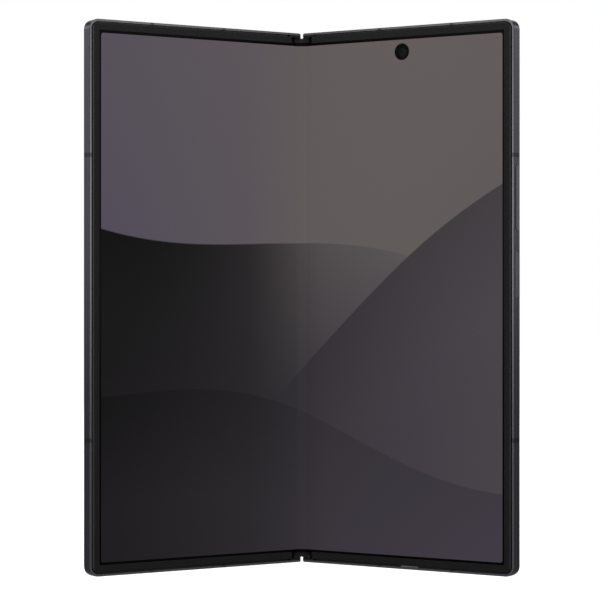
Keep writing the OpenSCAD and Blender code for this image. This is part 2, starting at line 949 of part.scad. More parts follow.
module power_key() {
  color("#303036")
    key(power_z, power_l, -power_sink);
}

// ---------------------------------------------------------------- inside the cover half

module cover_battery() {
  color("#2f3033")
    soft_box(inner_x, cover_battery_z, inner_w, cover_battery_h, inner_y, inner_y + battery_t, 1.5);
}

module cover_board() {
  color("#1f4a3a")
    union() {
      soft_box(inner_x, cover_board_z, inner_w, cover_board_h, inner_y, inner_y + board_t);
      soft_box(board_arm_x, cover_board_z, board_arm_w,
               body_h - wall_t - board_arm_end - cover_board_z, inner_y, inner_y + board_t);
    }
}

module cover_shields() {
  y0 = inner_y + board_t;
  x0 = inner_x + shield_margin;
  color("#b9bbbf")
    for (x = [x0, x0 + cover_shield[0] + 3])
      soft_box(x, cover_board_z + shield_margin, cover_shield[0], cover_shield[1],
               y0, y0 + shield_t, 0.5);
}

module top_speaker() {
  color("#222225")
    translate([0, 0, body_h])
      mirror([0, 0, 1])
        speaker(speaker_z);
}

// The space of the card tray, grown by a clearance.
module tray_space(clear) {
  pill_z(tray_x, tray_y + tray_t / 2, tray_w + 2 * clear, tray_t + 2 * clear,
         body_h - tray_l - clear, body_h + 1);
}

// Sheet metal socket that guides the tray.
module tray_socket() {
  w = tray_w + 2.4;
  z0 = body_h - tray_l - 1.5;
  z1 = body_h - wall_t - 0.05;
  color("#c4c6ca")
    difference() {
      translate([tray_x - w / 2, inner_y, z0])
        cube([w, tray_t + 2 * (tray_clear + socket_wall), z1 - z0]);
      tray_space(tray_clear);
    }
}

// Tray with a bay for one card and a pinhole in its head.
module card_tray() {
  color("#3a3a41")
    difference() {
      pill_z(tray_x, tray_y + tray_t / 2, tray_w, tray_t, body_h - tray_l, body_h - 0.04);
      translate([tray_x - card_w / 2 - 0.05, tray_y + 0.3, body_h - tray_l + 1.2])
        cube([card_w + 0.1, tray_t, card_l + 0.1]);
      translate([tray_x + tray_w / 2 - 1, tray_y + tray_t / 2, body_h - 1.6])
        cylinder(r = 0.4, h = 2, $fn = 24);
    }
}

module sim_card() {
  color("#c9a24a")
    translate([tray_x - card_w / 2, tray_y + 0.3, body_h - tray_l + 1.25])
      cube([card_w, card_t, card_l]);
}

// ---------------------------------------------------------------- hinge

// Section of the spine: a round lobe about each hinge axis, joined by a flat back.
module spine_section(r) {
  difference() {
    union() {
      for (s = [-1, 1])
        translate([s * axis_x, axis_y])
          circle(r, $fn = 72);
      translate([-axis_x, axis_y])
        square([2 * axis_x, r]);
    }
    translate([-2 * spine_r, spine_top - 4 * spine_r])
      square(4 * spine_r);
  }
}

module spine_cover() {
  notch = module_l + 0.4;
  color("#3a3a41")
    difference() {
      translate([0, 0, spine_z0])
        linear_extrude(spine_len)
          difference() {
            spine_section(spine_r);
            translate([0, -eps])
              spine_section(spine_in);
          }
      at_modules()
        translate([-5, axis_y - 1, -notch / 2])
          cube([10, 1 + notch_depth, notch]);
    }
}

// Plugs that close the spine, each with the block seen between the bezels.
module spine_end_caps() {
  color("#1a1a1b")
    for (end = [0, 1])
      translate([0, 0, end * body_h])
        mirror([0, 0, end]) {
          translate([0, 0, spine_z0])
            linear_extrude(cap_depth)
              spine_section(spine_in - 0.02);
          difference() {
            translate([-cap_half_w, display_recess + 0.1, cap_z0])
              cube([2 * cap_half_w, spine_top - display_recess, fold_edge - cap_z0 - 0.05]);
            translate([0, display_recess, cap_z0])
              rotate([-90, 0, 0])
                cylinder(r = cap_notch_r, h = 1, $fn = 24);
          }
        }
}

// Half ring about the main hinge axis, open towards the display.
module rail_track(r0, r1, l) {
  translate([axis_x, axis_y, 0])
    linear_extrude(l, center = true)
      difference() {
        circle(r1, $fn = 72);
        circle(r0, $fn = 72);
      }
}

// Fixed base of a hinge module, with a curved track for each bracket and a bay for the gears.
module hinge_bases() {
  l = rail_w + 0.2;
  color("#8e9096")
    at_modules()
      difference() {
        linear_extrude(module_l, center = true)
          spine_section(spine_in - 0.02);
        translate([-5, 0, -gear_zone / 2])
          cube([10, gear_y + gear_d / 2 + 0.23, gear_zone]);
        translate([0, 0, rail_mid])
          rail_track(core_r, spine_in + 0.1, l);
        mirror([1, 0, 0])
          translate([0, 0, -rail_mid])
            rail_track(core_r, spine_in + 0.1, l);
        for (x = [-arm_gear_x, -idler_x, idler_x, arm_gear_x])
          translate([x, gear_y, 0])
            cylinder(r = shaft_r, h = gear_zone + 1.6, center = true);
        for (s = [-1, 1])
          rod_y(0, s * base_screw_z, screw_r, axis_y - 1, axis_y + 1.7);
        for (s = [-1, 1])
          rod_y(0, s * base_screw_z, screw_head_r + 0.02, axis_y - 1, axis_y + screw_head_t);
      }
}

module base_screws() {
  color("#c4c6ca")
    at_modules()
      for (s = [-1, 1])
        screw(0, s * base_screw_z, axis_y + 0.02, 1.6);
}

// A flat-headed screw along Y, its head towards the display, with a cross recess.
module screw(x, z, y, l) {
  difference() {
    union() {
      rod_y(x, z, screw_head_r, y, y + screw_head_t - 0.02);
      rod_y(x, z, screw_r - 0.02, y + screw_head_t - 0.03, y + l);
    }
    for (turn = [0, 90])
      translate([x, y + 0.1, z])
        rotate([0, turn, 0])
          cube([0.9, 0.4, 0.2], center = true);
  }
}

module gear_shafts() {
  color("#c4c6ca")
    at_modules()
      for (x = [-arm_gear_x, -idler_x, idler_x, arm_gear_x])
        translate([x, gear_y, 0])
          cylinder(r = shaft_r - 0.005, h = gear_zone + 1.4, center = true);
}

// Involute of the base circle, as a point at a roll angle.
function involute(rb, roll) =
  [
    rb * (cos(roll) + roll * PI / 180 * sin(roll)),
    rb * (sin(roll) - roll * PI / 180 * cos(roll))
  ];

// One flank, from the root circle to the tip circle, turned back by half the tooth.
function flank(rb, rr, ra, half) =
  let (roll_end = sqrt(pow(ra / rb, 2) - 1) * 180 / PI)
    concat(
      [[rr * cos(half), -rr * sin(half)]],
      [for (i = [0:4]) let (p = involute(rb, roll_end * i / 4))
        [p[0] * cos(half) + p[1] * sin(half), p[1] * cos(half) - p[0] * sin(half)]]
    );

function turned(p, a) = [p[0] * cos(a) - p[1] * sin(a), p[0] * sin(a) + p[1] * cos(a)];

// Toothed outline with one tooth pointing along +X.
module gear_outline() {
  m = gear_d / gear_teeth;
  press = 25;
  rp = gear_d / 2;
  rb = rp * cos(press);
  involute_at_pitch = tan(press) * 180 / PI - press;
  half = 90 / gear_teeth * 0.9 + involute_at_pitch;
  low = flank(rb, rp - 1.1 * m, rp + 0.85 * m, half);
  polygon([
    for (i = [0:gear_teeth - 1], k = [0:2 * len(low) - 1])
      turned(
        k < len(low) ? low[k] : [low[2 * len(low) - 1 - k][0], -low[2 * len(low) - 1 - k][1]],
        i * 360 / gear_teeth
      )
  ]);
}

// A timing gear on the shaft at x, bored to run on it.
module gear(x) {
  translate([x, gear_y, 0])
    linear_extrude(gear_w, center = true)
      difference() {
        gear_outline();
        circle(shaft_r + shaft_clear);
      }
}

// Plain hubs on both sides of the gear at x, bored like the gear.
module hubs(x, r) {
  for (s = [-1, 1])
    translate([x, gear_y, s * (gear_w + hub_l) / 2])
      linear_extrude(hub_l, center = true)
        difference() {
          circle(r);
          circle(shaft_r + shaft_clear);
        }
}

module main_idler_gears() {
  color("#d2b25a")
    at_modules() {
      gear(idler_x);
      hubs(idler_x, idler_hub_r);
    }
}

module cover_idler_gears() {
  color("#d2b25a")
    at_modules() {
      gear(-idler_x);
      hubs(-idler_x, idler_hub_r);
    }
}

// A gear whose hubs carry a flat lever that slides in its half; side is 1 for main, -1 for cover.
module timing_lever(side) {
  drop = gear_y - lever_y;
  arm = lever_x1 - arm_gear_x;
  gear(side * arm_gear_x);
  hubs(side * arm_gear_x, hub_r);
  difference() {
    translate([side * arm_gear_x, gear_y, 0])
      mirror([side > 0 ? 0 : 1, 0, 0])
        rotate([0, 0, -fold_rest]) {
          translate([0.6, -drop, -lever_w / 2])
            cube([arm - 0.6, lever_t, lever_w]);
          for (s = [-1, 1])
            translate([-0.2, -drop, s * (gear_w + hub_l) / 2 - hub_l / 2])
              cube([0.9, drop - 0.1, hub_l]);
        }
    translate([side * arm_gear_x, gear_y, 0])
      cylinder(r = shaft_r + shaft_clear, h = gear_zone, center = true);
  }
}

module main_timing_levers() {
  color("#a8aab0")
    at_modules()
      timing_lever(1);
}

module cover_timing_levers() {
  color("#a8aab0")
    at_modules()
      timing_lever(-1);
}

// Curved bracket: a rail that slides round the hinge axis, and the plate screwed to a half.
module bracket_section() {
  translate([axis_x, axis_y])
    intersection() {
      difference() {
        circle(rail_out, $fn = 96);
        circle(rail_in, $fn = 96);
      }
      polygon([
        [0, 0],
        for (a = [rail_start, (rail_start + rail_arc) / 2, rail_arc])
          2 * rail_out * [cos(a), sin(a)]
      ]);
    }
  translate([tongue_x, tongue_y])
    square([bracket_x0 + 1 - tongue_x, tongue_t]);
  translate([bracket_x0, floor_y + 0.02])
    square([bracket_x1 - bracket_x0, bracket_t - 0.03]);
}

module hinge_brackets(rail_side) {
  at_modules()
    difference() {
      translate([0, 0, rail_side * rail_mid])
        linear_extrude(rail_w, center = true)
          bracket_section();
      bracket_screw_holes(rail_side, screw_r);
      for (x = [bracket_x0 + 1.2, bracket_x1 - 1.2])
        rod_y(x, rail_side * rail_mid, screw_head_r + 0.02, axis_y - 1, floor_y + screw_head_t);
    }
}

module bracket_screws(rail_side) {
  color("#c4c6ca")
    at_modules()
      for (x = [bracket_x0 + 1.2, bracket_x1 - 1.2])
        screw(x, rail_side * rail_mid, floor_y + 0.02, bracket_t + 0.9);
}

// ---------------------------------------------------------------- assembly

on_main() main_frame();
on_main() antenna_breaks();  // main_antenna_breaks
on_main() bezel();  // main_bezel
on_main() rear_glass();
on_main() camera_island();
on_main() camera_lens_rings();
on_main() camera_lens_glasses();
on_main() rear_cameras();
on_main() flash_lens();
on_main() inner_camera();
on_main() inner_camera_window();
on_main() main_display_panel();
on_main() main_display_plate();
on_main() main_battery();
on_main() main_board();
on_main() board_shields();
on_main() charging_coil();
on_main() charging_port();
on_main() port_board();
on_main() main_speaker();
on_main() haptic_motor();
on_main() key_switches();
on_main() color("#8e9096") hinge_brackets(1);  // main_hinge_brackets
on_main() bracket_screws(1);  // main_bracket_screws
on_main() volume_key();
on_main() power_key();
on_cover() cover_frame();
on_cover() antenna_breaks();  // cover_antenna_breaks
on_cover() bezel();  // cover_bezel
on_cover() cover_glass();
on_cover() cover_display();
on_cover() cover_camera();
on_cover() cover_display_panel();
on_cover() cover_display_plate();
on_cover() cover_battery();
on_cover() cover_board();
on_cover() cover_shields();
on_cover() top_speaker();
on_cover() tray_socket();
on_cover() color("#8e9096") hinge_brackets(-1);  // cover_hinge_brackets
on_cover() bracket_screws(-1);  // cover_bracket_screws
on_cover() card_tray();
on_cover() sim_card();
on_spine() spine_cover();
on_spine() spine_end_caps();
on_spine() hinge_bases();
on_spine() gear_shafts();
on_spine() base_screws();
on_spine() display_fold();
on_spine() main_timing_levers();
on_spine() cover_timing_levers();
on_spine() main_idler_gears();
on_spine() cover_idler_gears();
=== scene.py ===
import bpy
import json
import math
import numpy as np
from mathutils import Matrix, Vector


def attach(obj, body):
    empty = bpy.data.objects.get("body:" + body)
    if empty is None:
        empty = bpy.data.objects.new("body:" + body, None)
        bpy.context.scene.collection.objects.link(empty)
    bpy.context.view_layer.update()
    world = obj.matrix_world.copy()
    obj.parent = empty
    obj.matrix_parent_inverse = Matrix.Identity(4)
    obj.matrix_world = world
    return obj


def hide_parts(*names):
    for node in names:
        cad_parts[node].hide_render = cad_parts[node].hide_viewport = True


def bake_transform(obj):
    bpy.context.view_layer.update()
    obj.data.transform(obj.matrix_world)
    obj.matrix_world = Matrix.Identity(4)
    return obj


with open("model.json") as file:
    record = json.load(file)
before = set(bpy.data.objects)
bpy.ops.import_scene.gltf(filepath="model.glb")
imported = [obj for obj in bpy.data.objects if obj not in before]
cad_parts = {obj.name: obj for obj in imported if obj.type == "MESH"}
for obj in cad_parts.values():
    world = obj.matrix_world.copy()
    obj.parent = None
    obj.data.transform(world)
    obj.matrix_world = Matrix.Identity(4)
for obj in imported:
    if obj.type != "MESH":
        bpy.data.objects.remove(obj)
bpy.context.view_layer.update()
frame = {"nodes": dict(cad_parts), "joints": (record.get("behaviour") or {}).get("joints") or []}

# ------------------------------------------------------------------ camera
# The photograph looks straight at the fold from mid height, about 0.69 m away, through a long
# lens. The shift puts the fold line a little right of the middle, as in the photograph.

body_h = 0.1584
hinge = [joint for joint in frame["joints"] if joint["name"] == "fold_main"][0]
axis_x, axis_y, _ = hinge["pos_m"]
axis_depth = 0.001
camera_distance = 0.6854
camera_data = bpy.data.cameras.new("camera")
camera_data.lens = 137.28
camera_data.sensor_width = 36
camera_data.shift_x = -0.003
camera_data.shift_y = -0.00385
camera_data.clip_start = 0.01
camera = bpy.data.objects.new("camera", camera_data)
camera.location = (0, axis_y - axis_depth - camera_distance, body_h / 2)
camera.rotation_euler = (math.pi / 2, 0, 0)
bpy.context.scene.collection.objects.link(camera)
bpy.context.scene.camera = camera
bpy.context.scene.view_settings.view_transform = "Standard"

# ------------------------------------------------------------------ studio
# A round white paper floor under a white surround, both white to the camera and in reflections.
# A key box hangs high in front, so that the light falls off downwards. A narrow box far in front
# lights the fold, and the cards and the rim, top and back boxes light the edges.


def linear(code):
    """Linear colour of an sRGB hex code.

    Each part c gives c / 12.92 up to 0.04045, else ((c + 0.055) / 1.055) ** 2.4.
    """
    srgb = np.array([int(code[i : i + 2], 16) for i in (1, 3, 5)]) / 255
    high = ((srgb + 0.055) / 1.055) ** 2.4
    return [float(c) for c in np.where(srgb <= 0.04045, srgb / 12.92, high)] + [1.0]


def add_node(tree, kind, inputs=(), out=0, **settings):
    """Adds a node with its settings and returns its output number out.

    Inputs are numbers, sRGB hex codes or outputs of other nodes, by position or by name.
    """
    node = tree.nodes.new(kind)
    for key, value in settings.items():
        setattr(node, key, value)
    for key, value in inputs.items() if isinstance(inputs, dict) else enumerate(inputs):
        if isinstance(value, bpy.types.NodeSocket):
            tree.links.new(value, node.inputs[key])
        elif isinstance(value, str):
            node.inputs[key].default_value = linear(value)
        else:
            node.inputs[key].default_value = value
    return node.outputs[out] if len(node.outputs) else None


def shown_rays(tree):
    """1 for rays from the camera, from reflections and through glass, else 0."""
    rays = add_node(tree, "ShaderNodeLightPath").node.outputs
    seen = add_node(
        tree,
        "ShaderNodeMath",
        (rays["Is Camera Ray"], rays["Is Glossy Ray"]),
        operation="MAXIMUM",
    )
    return add_node(
        tree, "ShaderNodeMath", (seen, rays["Is Transmission Ray"]), operation="MAXIMUM"
    )


world = bpy.data.worlds.new("white_surround")
bpy.context.scene.world = world
world.use_nodes = True
tree = world.node_tree
tree.nodes.clear()
fill = add_node(tree, "ShaderNodeBackground", ("#eef1f6", 0.08))
white = add_node(tree, "ShaderNodeBackground", ("#ffffff", 1.0))
seen = add_node(tree, "ShaderNodeMixShader", (shown_rays(tree), fill, white))
add_node(tree, "ShaderNodeOutputWorld", (seen,))

floor_r = 2.5
floor_steps = 96
shade_r = 0.12
white_r = 0.6
turn = np.linspace(0, 2 * np.pi, floor_steps + 1)[:-1]
rim = np.column_stack([floor_r * np.cos(turn), floor_r * np.sin(turn), 0 * turn])
floor_mesh = bpy.data.meshes.new("paper_floor")
floor_mesh.from_pydata(rim.tolist(), [], [list(range(len(turn)))])
floor = bpy.data.objects.new("paper_floor", floor_mesh)
bpy.context.scene.collection.objects.link(floor)
paper = bpy.data.materials.new("white_paper")
paper.use_nodes = True
tree = paper.node_tree
tree.nodes.clear()
place = add_node(tree, "ShaderNodeTexCoord", out=3)
away = add_node(tree, "ShaderNodeVectorMath", (place,), out=1, operation="LENGTH")
glow = add_node(
    tree,
    "ShaderNodeMapRange",
    {"Value": away, "From Min": shade_r, "From Max": white_r, "To Min": 0.8, "To Max": 1.0},
)
matte = add_node(tree, "ShaderNodeBsdfDiffuse", ("#b8b8b8",))
bright = add_node(tree, "ShaderNodeEmission", ("#ffffff", glow))
bright = add_node(tree, "ShaderNodeAddShader", (matte, bright))
seen = add_node(tree, "ShaderNodeMixShader", (shown_rays(tree), matte, bright))
add_node(tree, "ShaderNodeOutputMaterial", (seen,))
floor_mesh.materials.append(paper)

for name, place, target, size, power in (
    ("key_box", (0.0, -0.16, 0.33), (0, 0, 0.10), (0.5, 0.24), 1.3),
    ("front_box", (0.0, -1.05, 0.08), (0, 0, 0.08), (0.1, 0.42), 2.3),
    ("left_card", (-0.33, -0.25, 0.14), (0, 0, 0.12), (0.14, 0.17), 0.42),
    ("right_card", (0.33, -0.25, 0.14), (0, 0, 0.12), (0.14, 0.17), 0.42),
    ("left_rim", (-0.45, 0.21, 0.195), (-0.06, -0.02, 0.14), (0.2, 0.26), 0.8),
    ("right_rim", (0.45, 0.21, 0.195), (0.06, -0.02, 0.14), (0.2, 0.26), 0.8),
    ("left_top", (-0.45, 0.21, 0.29), (-0.06, -0.02, 0.15), (0.2, 0.1), 0.8),
    ("right_top", (0.45, 0.21, 0.29), (0.06, -0.02, 0.15), (0.2, 0.1), 0.8),
    ("back_box", (0.0, 0.75, 0.55), (0, 0, 0.08), (0.7, 0.4), 3.2),
):
    data = bpy.data.lights.new(name, "AREA")
    data.shape = "RECTANGLE"
    data.size, data.size_y = size
    data.energy = power
    lamp = bpy.data.objects.new(name, data)
    lamp.location = place
    lamp.rotation_euler = (Vector(target) - Vector(place)).to_track_quat("-Z", "Y").to_euler()
    bpy.context.scene.collection.objects.link(lamp)

# ------------------------------------------------------------------ frames, keys, tray and spine
# Milled aluminium, bead blasted to a fine grain and anodised dark grey. The keys are brighter.
# The cut edge round the display side is smoother, and its lighter colour is a painted highlight.
# The antenna breaks are resin with a metal pigment, moulded into slots of the frames and
# machined flush, a shade darker.

fold_rest = math.radians(32.5)
# The real grain is too fine to show, so it is drawn at 0.25 mm.
blast_grain = 0.00025
blast_rough = 0.36
cut_edge_depth = 0.00016
cut_edge_rough = 0.27


def new_tree(name):
    """A material with an empty node tree."""
    material = bpy.data.materials.new(name)
    material.use_nodes = True
    material.node_tree.nodes.clear()
    return material, material.node_tree


def grain(tree, place, size, low, high):
    """Noise with spots of about size metres, spread between low and high."""
    noise = add_node(
        tree, "ShaderNodeTexNoise", {"Vector": place, "Scale": 1 / size, "Detail": 2.0}
    )
    return add_node(
        tree,
        "ShaderNodeMapRange",
        {"Value": noise, "From Min": 0.3, "From Max": 0.7, "To Min": low, "To Max": high},
    )


def satin(name, dark, light, metal, rough, size, bump=0.0, **shader):
    """A blasted, moulded or ground surface: two close shades in a grain of size metres.

    The roughness varies by 0.02 over a grain three times as coarse. The grain stands up by a
    tenth of its size, times bump. shader holds further settings of the Principled shader.
    """
    material, tree = new_tree(name)
    place = add_node(tree, "ShaderNodeTexCoord", out=3)
    spots = grain(tree, place, size, 0.0, 1.0)
    inputs = {
        "Base Color": add_node(
            tree, "ShaderNodeMix", {0: spots, 6: dark, 7: light}, out=2, data_type="RGBA"
        ),
        "Metallic": metal,
        "Roughness": grain(tree, place, size * 3, rough - 0.02, rough + 0.02),
        **{key.replace("_", " "): value for key, value in shader.items()},
    }
    if bump:
        inputs["Normal"] = add_node(
            tree, "ShaderNodeBump", {"Height": spots, "Strength": bump, "Distance": size / 10}
        )
    surface = add_node(tree, "ShaderNodeBsdfPrincipled", inputs)
    add_node(tree, "ShaderNodeOutputMaterial", (surface,))
    return material


def satin_parts(material):
    """A satin material's tree, its shader, and what feeds the shader's base colour."""
    tree = material.node_tree
    surface = [part for part in tree.nodes if part.type == "BSDF_PRINCIPLED"][0]
    return tree, surface, surface.inputs["Base Color"].links[0].from_socket


def dress(material, *nodes):
    """Gives the material to the CAD nodes named."""
    for name in nodes:
        for slot in frame["nodes"][name].material_slots:
            slot.material = material


def unfolded_place(tree, side):
    """Place on a half, unfolded: x out from the fold line, y in from the inner rim, z up.

    The half is mirrored where side is -1, then turned back by fold_rest about its hinge axis.
    """
    turned = Matrix.Rotation(fold_rest, 2) @ Vector((axis_x, axis_y))
    return add_node(
        tree,
        "ShaderNodeMapping",
        {
            "Vector": add_node(tree, "ShaderNodeTexCoord", out=3),
            "Location": (axis_x - turned.x, axis_depth - turned.y, 0),
            "Rotation": (0, 0, fold_rest),
            "Scale": (side, 1, 1),
        },
    )


grazed = linear("#bcbcbc")
# edge is the colour of the cut edge: lighter than the rest, as a painted highlight.
for side, node, name, dark, light, edge in (
    (1, "main_frame", "anodised_main_frame", "#212124", "#252528", "#3a3a3c"),
    (-1, "cover_frame", "anodised_cover_frame", "#212124", "#252528", "#3a3a3c"),
    (1, "main_antenna_breaks", "main_antenna_resin", "#161618", "#19191b", "#28282a"),
    (-1, "cover_antenna_breaks", "cover_antenna_resin", "#161618", "#19191b", "#28282a"),
):
    material = satin(name, dark, light, 1.0, blast_rough, blast_grain, Specular_Tint=grazed)
    tree, surface, color = satin_parts(material)
    depth = add_node(tree, "ShaderNodeSeparateXYZ", (unfolded_place(tree, side),), out=1)
    # The cut edge, within cut_edge_depth of the display side: it is smoother, and its lighter
    # colour is a painted highlight.
    cut_edge_and_highlight = add_node(tree, "ShaderNodeMath", (depth, cut_edge_depth), operation="LESS_THAN")
    color = add_node(
        tree, "ShaderNodeMix", {0: cut_edge_and_highlight, 6: color, 7: edge}, out=2, data_type="RGBA"
    )
    tree.links.new(color, surface.inputs["Base Color"])
    rough = surface.inputs["Roughness"].links[0].from_socket
    rough = add_node(tree, "ShaderNodeMix", {0: cut_edge_and_highlight, 2: rough, 3: cut_edge_rough})
    tree.links.new(rough, surface.inputs["Roughness"])
    dress(material, node)
for name, dark, light, nodes in (
    ("anodised_aluminium", "#212124", "#252528", ("spine_cover", "card_tray")),
    ("anodised_keys", "#2a2a2d", "#2e2e32", ("volume_key", "power_key")),
):
    material = satin(name, dark, light, 1.0, blast_rough, blast_grain, Specular_Tint=grazed)
    dress(material, *nodes)

# ------------------------------------------------------------------ bezels and spine caps
# Strips of soft black resin round the display, and the caps that close the spine. Spark-eroded
# moulds leave them matt. Their grain is too fine to show, so it is drawn at 0.2 mm. The side
# bezels carry a painted highlight along their rounded outer edge and painted shade in the groove.

half_w = 0.0716
bezel_u = 0.001
# The painted highlight lies between these distances in from the bezel's outer edge.
painted_highlight_from = 0.0005
painted_highlight_to = 0.0003
# Below these depths the bezel's flank in the groove is painted darker: painted shade.
groove_shade_from = 0.00016
groove_shade_to = 0.00028
resin = ("#1a1a1a", "#1d1d1d", 0.0, 0.6, 0.0002)
# The last column is the painted highlight's colour, lighter on the cover half.
for side, node, edge in ((1, "main_bezel", "#2a2a2a"), (-1, "cover_bezel", "#323232")):
    material = satin("matt_resin_" + node, *resin, Specular_IOR_Level=0.01)
    tree, surface, color = satin_parts(material)
    x, depth = add_node(
        tree, "ShaderNodeSeparateXYZ", (unfolded_place(tree, side),)
    ).node.outputs[:2]
    # Painted highlight: a lighter band along the rounded outer edge of the side bezels.
    painted_highlight = add_node(
        tree,
        "ShaderNodeMapRange",
        {
            "Value": x,
            "From Min": half_w - bezel_u - painted_highlight_from,
            "From Max": half_w - bezel_u - painted_highlight_to,
        },
    )
    # Painted shade: the bezel's flank down in the groove between bezel and frame is darker.
    deep = add_node(
        tree, "ShaderNodeMapRange", {"Value": depth, "From Min": groove_shade_from, "From Max": groove_shade_to}
    )
    color = add_node(
        tree, "ShaderNodeMix", {0: painted_highlight, 6: color, 7: edge}, out=2, data_type="RGBA"
    )
    color = add_node(
        tree, "ShaderNodeMix", {0: deep, 6: color, 7: "#0b0b0b"}, out=2, data_type="RGBA"
    )
    tree.links.new(color, surface.inputs["Base Color"])
    dress(material, node)
dress(satin("matt_black_resin", *resin, Specular_IOR_Level=0.01), "spine_end_caps")

# ------------------------------------------------------------------ folding display
# One laminated film over both halves: a lit picture inside a black border. It is two sheets
# here, one from the fold line to each side, and each bends between the spine and its half.

sheet_margin = 0.0029
film_front = 0.00036
film_back = 0.00062
fold_free = 0.0033
bend_reach = 1.3
bend_steps = 60
flat_steps = 10
settle_steps = 300
sheet_rows = 13
border_side = 0.00383
border_end = 0.00387
picture_corner = 0.0007
inner_camera_place = (0.0348, 0.151)
inner_camera_r = 0.00244
uv_scale = 10
crest_soft = 0.002


def folded(x, depth, share):
    """World (x, y) of an unfolded point: turned by share * fold_rest about the hinge axis."""
    dx, dy, angle = x - axis_x, depth - axis_depth, share * fold_rest
    return (
        axis_x + dx * np.cos(angle) + dy * np.sin(angle),
        axis_y - dx * np.sin(angle) + dy * np.cos(angle),
    )


def film_section():
    """Where the bend starts and ends, the sheet's closed section at rest, and its flat x.

    Each flat point turns by share * fold_rest, where share is t * t * (3 - 2 t) and t is how far
    the turned point lies on the way from start to end. The share is found by taking half of the
    step again and again until it settles.
    """
    start = np.array(folded(0.0, film_front, 0.0))
    end = np.array(folded(fold_free, film_front, 1.0))
    bend = np.linspace(0, bend_reach * fold_free, bend_steps)
    flat = np.linspace(bend[-1], half_w - sheet_margin, flat_steps)[1:]
    across = np.concatenate([bend, flat])
    sides = []
    for depth in (film_front, film_back):
        share = np.clip(across / fold_free, 0, 1)
        for _ in range(settle_steps):
            reach = np.column_stack(folded(across, depth, share)) - start
            t = np.clip(reach @ (end - start) / ((end - start) @ (end - start)), 0, 1)
            share = (share + t * t * (3 - 2 * t)) / 2
        sides.append(np.column_stack(folded(across, depth, share)))
    section = np.concatenate([sides[0], sides[1][::-1]])
    return start, end, section, np.concatenate([across, across[::-1]])


def film_sheet(name, side, section, flat):
    """The section carried up in rows as a closed slab, with its flat place as UV."""
    n = len(section)
    heights = np.linspace(sheet_margin, body_h - sheet_margin, sheet_rows)
    points = np.concatenate(
        [np.column_stack([section * (side, 1), np.full(n, z)]) for z in heights]
    )
    i, j = np.arange(n), np.arange(len(heights) - 1)[:, None]
    after = (i + 1) % n
    walls = np.stack([j * n + i, j * n + after, (j + 1) * n + after, (j + 1) * n + i], -1)
    k = np.arange(n // 2 - 1)
    low = np.stack([k, n - 1 - k, n - 2 - k, k + 1], -1)
    top = low[:, ::-1] + (len(heights) - 1) * n
    faces = np.concatenate([walls.reshape(-1, 4), low, top])
    mesh = bpy.data.meshes.new(name)
    mesh.from_pydata(points.tolist(), [], faces[:, ::side].tolist())
    corner = np.zeros(len(mesh.loops), int)
    mesh.loops.foreach_get("vertex_index", corner)
    place = np.column_stack([side * np.tile(flat, len(heights)), np.repeat(heights, n)])
    layer = mesh.uv_layers.new(name="flat")
    layer.data.foreach_set("uv", (place[corner] * uv_scale).astype(np.float32).ravel())
    mesh.shade_smooth()
    mesh.set_sharp_from_angle(angle=math.radians(40))
    return mesh


def dune_tones(tree, across, codes):
    """Colours at the left side, left of the fold, right of the fold and the right side."""
    spot = add_node(tree, "ShaderNodeMapRange", {"Value": across, "From Min": -1.0})
    color = add_node(tree, "ShaderNodeValToRGB", (spot,))
    color.node.color_ramp.interpolation = "B_SPLINE"
    stops = color.node.color_ramp.elements
    stops.new(0.4)
    stops.new(0.6)
    for stop, place, code in zip(stops, (0.0, 0.37, 0.56, 1.0), codes):
        stop.position = place
        stop.color = linear(code)
    return color


def dune_picture(tree, across, up):
    """Soft dunes in greys. across runs from -1 to 1 over both halves, up from 0 to 1.

    A dune lies below its crest: offset + slope * across + height * sin(rate * across + phase).
    Its tones change from top to low over a depth of fade.
    """
    lower = dune_tones(tree, across, ("#403e56", "#564f55", "#645c5b", "#514c4c"))
    upper = dune_tones(tree, across, ("#534d56", "#5b555a", "#635c5b", "#605a5a"))
    picture = add_node(
        tree, "ShaderNodeMix", {0: up, 6: lower, 7: upper}, out=2, data_type="RGBA"
    )
    for offset, slope, height, rate, phase, fade, top, low in (
        (
            *(0.58, -0.10, 0.05, 2.3, 0.5, 0.30),
            ("#010101", "#121113", "#585355", "#595456"),
            ("#151314", "#262427", "#39363a", "#46414a"),
        ),
        (
            *(0.38, 0.32, 0.035, 3.0, -0.4, 0.22),
            ("#1c1a1c", "#2a282b", "#353137", "#413d40"),
            ("#201e20", "#2d2b2f", "#38343b", "#4b454c"),
        ),
        (
            *(0.26, -0.08, 0.04, 2.9, 2.4, 0.20),
            ("#0e0d0e", "#201e20", "#343136", "#3f3a43"),
            ("#1a181a", "#29272a", "#38343a", "#443e49"),
        ),
    ):
        wave = add_node(tree, "ShaderNodeMath", (across, rate, phase), operation="MULTIPLY_ADD")
        wave = add_node(tree, "ShaderNodeMath", (wave,), operation="SINE")
        line = add_node(tree, "ShaderNodeMath", (across, slope, offset), operation="MULTIPLY_ADD")
        line = add_node(tree, "ShaderNodeMath", (wave, height, line), operation="MULTIPLY_ADD")
        drop = add_node(tree, "ShaderNodeMath", (line, up), operation="SUBTRACT")
        deep = add_node(tree, "ShaderNodeMath", (drop, fade), operation="DIVIDE", use_clamp=True)
        edge = add_node(
            tree, "ShaderNodeMath", (drop, crest_soft), operation="DIVIDE", use_clamp=True
        )
        dune = add_node(
            tree,
            "ShaderNodeMix",
            {0: deep, 6: dune_tones(tree, across, top), 7: dune_tones(tree, across, low)},
            out=2,
            data_type="RGBA",
        )
        picture = add_node(
            tree, "ShaderNodeMix", {0: edge, 6: picture, 7: dune}, out=2, data_type="RGBA"
        )
    return picture


film, tree = new_tree("folding_display_film")
uv = add_node(tree, "ShaderNodeUVMap", uv_map="flat")
x, z = add_node(tree, "ShaderNodeSeparateXYZ", (uv,)).node.outputs[:2]
